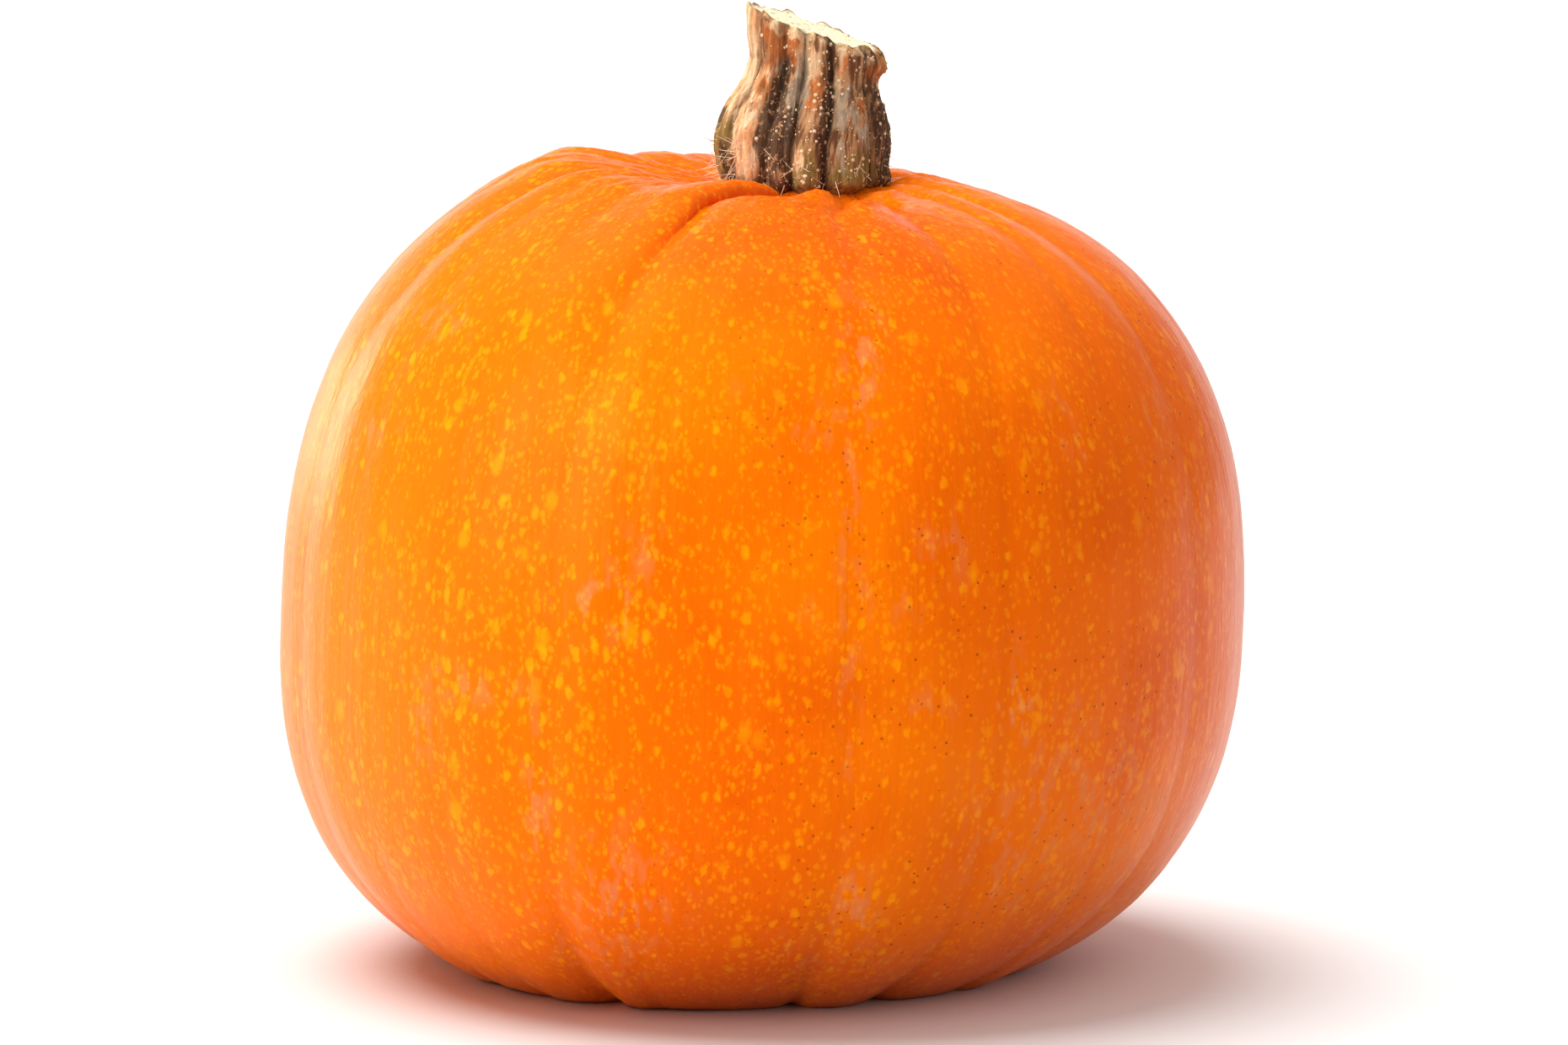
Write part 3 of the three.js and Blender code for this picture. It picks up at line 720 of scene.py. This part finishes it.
    # relief of the skin in millimetres
    height = 0.0
    for name, size, stretch, amount in look["relief"]:
        vector = node("ShaderNodeMapping", {"Vector": follows[name], "Scale": (1, 1, stretch)})
        noise = node("ShaderNodeTexNoise", {"Vector": vector, "Scale": 1 / (size * mm), "Detail": 2.0})
        height = node("ShaderNodeMath", (noise, amount, height), operation="MULTIPLY_ADD")
    roughCork = {"Vector": place, "Scale": 1 / (look["corkGrain"] * mm), "Detail": 3.0}
    roughCork = node("ShaderNodeTexNoise", roughCork)
    roughCork = node("ShaderNodeMath", (roughCork, cork), operation="MULTIPLY")
    for share, amount in zip((flecks, pit, rub, roughCork), look["proud"]):
        height = node("ShaderNodeMath", (share, amount, height), operation="MULTIPLY_ADD")
    bump = node("ShaderNodeBump", {"Height": height, "Distance": mm, "Strength": 1.0})
    shader = node("ShaderNodeBsdfPrincipled", {
        "Base Color": colour, "Roughness": rough, "IOR": 1.45, "Specular IOR Level": 0.25,
        "Specular Tint": (1.0, 0.45, 0.05, 1.0), "Normal": bump})
    node("ShaderNodeOutputMaterial", (shader,))
    return made


barkLook = {  # dried squash stalk: cork over woody fibre, matt, with raised warts
    "tan": "#B0845A", "brown": "#74492A", "dark": "#3B281B", "pale": "#DDBD92", "pink": "#CF925F",
    "olive": "#8A7238", "felt": "#AA9A82", "rust": "#B86C34",
    "pith": "#E6DBB8", "pithEdge": "#C49C68", "pithPit": "#6D5A3C",
    "lines": (0.55, 0.47, 0.42, 1),  # linear, and multiplied with the colour between fibres
    # how much painted shade darkens the grooves comes next
    "lineShare": 0.7, "grooveShadeShare": 0.45, "roughness": 0.82,
    # how strong each kind of patch can be, how ragged it is, and the values at its low and high edge
    "patches": {"olive": 0.85, "rust": 0.9, "pale": 0.95, "felt": 0.8, "dark": 0.85},
    "raggedness": 0.6, "patchEdge": (0.35, 0.62),
    "masks": {
        "fibre": ("flow", 0.9, 0.1, 4, 0.36, 0.62, 1.0), "pink": ("flow", 2.2, 0.3, 3, 0.46, 0.6, 0.85),
        "speckle": ("place", 0.9, 1, 3, 0.56, 0.64, 0.8), "ragged": ("flow", 1.8, 0.25, 5, 0.3, 0.7, 1.0),
        "pithEdge": ("place", 1.6, 1, 4, 0.58, 0.68, 0.8), "pithPit": ("place", 2.0, 1, 2, 0.66, 0.72, 1.0)},
    "fibreRelief": 0.12, "grainRelief": 0.25, "grainSize": 0.7,
}


def barkMaterial():
    look = barkLook
    made, node = newMaterial("driedSquashStalk")
    flow = node("ShaderNodeAttribute", attribute_name="flow").outputs["Vector"]
    place = node("ShaderNodeTexCoord").outputs["Object"]
    groove, cut, *patches = (node("ShaderNodeAttribute", attribute_name=name).outputs["Fac"]
                             for name in ("groove", "cut", *look["patches"]))
    masks = noiseMasks(node, {"place": place, "flow": flow}, look["masks"])
    tints = {name: hexColour(look[name]) for name in ("tan", "brown", "pale", "pink", *look["patches"])}
    fibres = {"Factor": masks["fibre"], "A": tints["brown"], "B": tints["tan"]}
    colour = node("ShaderNodeMix", fibres, data_type="RGBA")
    palePart = {"Factor": masks["pink"], "A": tints["pale"], "B": tints["pink"]}
    tints["pale"] = node("ShaderNodeMix", palePart, data_type="RGBA")

    # patches placed on the stalk, with ragged edges
    ragged = look["raggedness"]
    for value, (kind, most) in zip(patches, look["patches"].items()):
        broken = node("ShaderNodeMath", (masks["ragged"], ragged, -ragged / 2), operation="MULTIPLY_ADD")
        broken = node("ShaderNodeMath", (broken, value), operation="ADD")
        share = node("ShaderNodeMapRange", (broken, *look["patchEdge"], 0.0, most),
                     interpolation_type="SMOOTHSTEP")
        colour = node("ShaderNodeMix", {"Factor": share, "A": colour, "B": tints[kind]}, data_type="RGBA")
    # speckles on the dark patches only, which are the last kind
    speckleShare = node("ShaderNodeMath", (masks["speckle"], share), operation="MULTIPLY")

    # lines between the fibres, painted shade in the grooves, speckles, and the pith of the cut
    lines = {"Factor": masks["fibre"], "A": look["lines"], "B": (1, 1, 1, 1)}
    lines = node("ShaderNodeMix", lines, data_type="RGBA")
    lined = {"Factor": look["lineShare"], "A": colour, "B": lines}
    colour = node("ShaderNodeMix", lined, data_type="RGBA", blend_type="MULTIPLY")
    # painted shade: the dark tint darkens the grooves
    grooveShadeShare = node("ShaderNodeMath", (groove, look["grooveShadeShare"]), operation="MULTIPLY")
    pith = hexColour(look["pith"])
    for name in ("pithEdge", "pithPit"):
        mixed = {"Factor": masks[name], "A": pith, "B": hexColour(look[name])}
        pith = node("ShaderNodeMix", mixed, data_type="RGBA")
    for share, tint in ((grooveShadeShare, tints["dark"]), (speckleShare, tints["tan"]), (cut, pith)):
        colour = node("ShaderNodeMix", {"Factor": share, "A": colour, "B": tint}, data_type="RGBA")

    grain = {"Vector": place, "Scale": 1 / (look["grainSize"] * mm), "Detail": 3.0}
    grain = node("ShaderNodeTexNoise", grain)
    height = node("ShaderNodeMath", (masks["fibre"], look["fibreRelief"], 0.0), operation="MULTIPLY_ADD")
    height = node("ShaderNodeMath", (grain, look["grainRelief"], height), operation="MULTIPLY_ADD")
    bump = node("ShaderNodeBump", {"Height": height, "Distance": mm, "Strength": 1.0})
    shader = node("ShaderNodeBsdfPrincipled", {
        "Base Color": colour, "Roughness": look["roughness"], "IOR": 1.45, "Specular IOR Level": 0.3,
        "Normal": bump})
    node("ShaderNodeOutputMaterial", (shader,))
    return made


def plainMaterial(name, look):  # two tones, mixed over a few millimetres
    made, node = newMaterial(name)
    place = node("ShaderNodeTexCoord").outputs["Object"]
    noise = {"Vector": place, "Scale": 1 / (look["toneSize"] * mm), "Detail": 2.0}
    noise = node("ShaderNodeTexNoise", noise)
    mixed = {"Factor": noise, "A": hexColour(look["darker"]), "B": hexColour(look["lighter"])}
    colour = node("ShaderNodeMix", mixed, data_type="RGBA")
    shader = node("ShaderNodeBsdfPrincipled", {
        "Base Color": colour, "Roughness": look["roughness"], "Specular IOR Level": 0.3})
    node("ShaderNodeOutputMaterial", (shader,))
    return made


rindPiece = runTree(makeRind(), rindRelief(), {**inMetres(rindSkin), "Finish": rindMaterial()}, "rind")
print("rind", len(rindPiece.data.polygons), "faces")

stemPiece = runTree(makeStem(), barkRelief(), {**inMetres(barkSkin), "Finish": barkMaterial()}, "stemBark")
print("stem", len(stemPiece.data.polygons), "faces")

wartPiece = runTree(stemPiece, wartScatter(), {
    **inMetres(warts["lengths"]), "Per Square Metre": warts["perSquareMetre"], "Flatness": warts["flatness"],
    "Seed": warts["seed"], "Finish": plainMaterial("stalkWartCork", warts)}, "stemWarts")
hairPiece = runTree(stemPiece, hairScatter(), {
    **inMetres(hairs["lengths"]), "Per Square Metre": hairs["perSquareMetre"], "Seed": hairs["seed"],
    "Finish": plainMaterial("stalkHair", hairs)}, "stemHairs")
print("warts", len(wartPiece.data.polygons), "faces, hairs", len(hairPiece.data.polygons), "faces")

for piece, slot in ((rindPiece, "rind"), (stemPiece, "stem_bark"),
                    (wartPiece, "stem_bark"), (hairPiece, "stem_bark")):
    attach(piece, "root")
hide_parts("fruit")
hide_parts("stem")


studio = {  # lengths in metres here
    "floorSize": 16.0, "floorColour": "#F2F0EE",
    # the tent is brightest toward this direction, between these cosines
    "backDirection": (-0.3, 0.95, -0.5), "backEdges": (0.4, 1.0), "backStrength": 1.4, "frontStrength": 0.2,
    "seenStrength": 1.3,
    "lights": {  # from where, width in degrees, strength, colour
        "top": ((-0.3, 0.2, 1.0), 48.0, 3.3, "#FFFFFF"), "fill": ((0.5, -0.2, 0.8), 100.0, 1.1, "#FFFFFF"),
        "front": ((-0.82, -0.55, 0.46), 45.0, 3.1, "#FFFFFF"),
        "side": ((-0.6, 0.78, 0.08), 16.0, 0.3, "#FFEBC8")},
    "lowLights": ("front", "side"),
    "target": (0.004, 0.0, 0.0868), "distance": 1.5, "elevation": 7.5, "lens": 175.0, "sensorWidth": 36.0,
}


def makeFloor():
    half = studio["floorSize"] / 2
    mesh = bpy.data.meshes.new("floor")
    corners = [(-half, -half, 0), (half, -half, 0), (half, half, 0), (-half, half, 0)]
    mesh.from_pydata(corners, [], [(0, 1, 2, 3)])
    floor = bpy.data.objects.new("floor", mesh)
    bpy.context.scene.collection.objects.link(floor)
    made, node = newMaterial("paleFloor")
    shader = node("ShaderNodeBsdfPrincipled", {
        "Base Color": hexColour(studio["floorColour"]), "Roughness": 0.9, "Specular IOR Level": 0.1})
    node("ShaderNodeOutputMaterial", (shader,))
    mesh.materials.append(made)


def makeLight():  # a white tent, darker toward its open front, and four soft lights
    scene = bpy.context.scene
    scene.world = bpy.data.worlds.new("whiteStudio")
    scene.world.use_nodes = True
    scene.world.node_tree.nodes.clear()
    node = functools.partial(addNode, scene.world.node_tree)
    direction = node("ShaderNodeTexCoord").outputs["Generated"]
    toBack = node("ShaderNodeVectorMath", (direction, studio["backDirection"]), operation="DOT_PRODUCT")
    strength = node("ShaderNodeMapRange", (
        toBack.outputs["Value"], *studio["backEdges"], studio["frontStrength"], studio["backStrength"]),
        interpolation_type="SMOOTHSTEP")
    seen = node("ShaderNodeLightPath").outputs["Is Camera Ray"]
    seen = node("ShaderNodeMath", (seen, studio["seenStrength"]), operation="MULTIPLY")
    strength = node("ShaderNodeMath", (strength, seen), operation="MAXIMUM")
    tent = node("ShaderNodeBackground", {"Color": (1, 1, 1, 1), "Strength": strength})
    node("ShaderNodeOutputWorld", (tent,))
    onlyPumpkin = bpy.data.collections.new("onlyPumpkin")  # the two low lights leave the floor alone
    for piece in (rindPiece, stemPiece, wartPiece, hairPiece):
        onlyPumpkin.objects.link(piece)
    for name, (place, width, strength, colour) in studio["lights"].items():
        light = bpy.data.lights.new(name + "Light", "SUN")
        light.angle, light.energy, light.color = math.radians(width), strength, hexColour(colour)[:3]
        lamp = bpy.data.objects.new(name + "Light", light)
        scene.collection.objects.link(lamp)
        lamp.location = place
        lamp.rotation_euler = lamp.location.to_track_quat("Z", "Y").to_euler()
        if name in studio["lowLights"]:
            lamp.light_linking.receiver_collection = onlyPumpkin
        else:
            lamp.visible_glossy = False  # the high lights leave no highlight
    scene.view_settings.view_transform = "Standard"


def makeCamera():
    tilt = math.radians(studio["elevation"])
    camera = bpy.data.cameras.new("camera")
    camera.lens, camera.sensor_width = studio["lens"], studio["sensorWidth"]
    camera.clip_end = 50
    holder = bpy.data.objects.new("camera", camera)
    bpy.context.scene.collection.objects.link(holder)
    x, y, z = studio["target"]
    holder.location = (x, y - studio["distance"] * math.cos(tilt), z + studio["distance"] * math.sin(tilt))
    holder.rotation_euler = (math.pi / 2 - tilt, 0, 0)
    bpy.context.scene.camera = holder


makeFloor()
makeLight()
makeCamera()
print("studio ready")
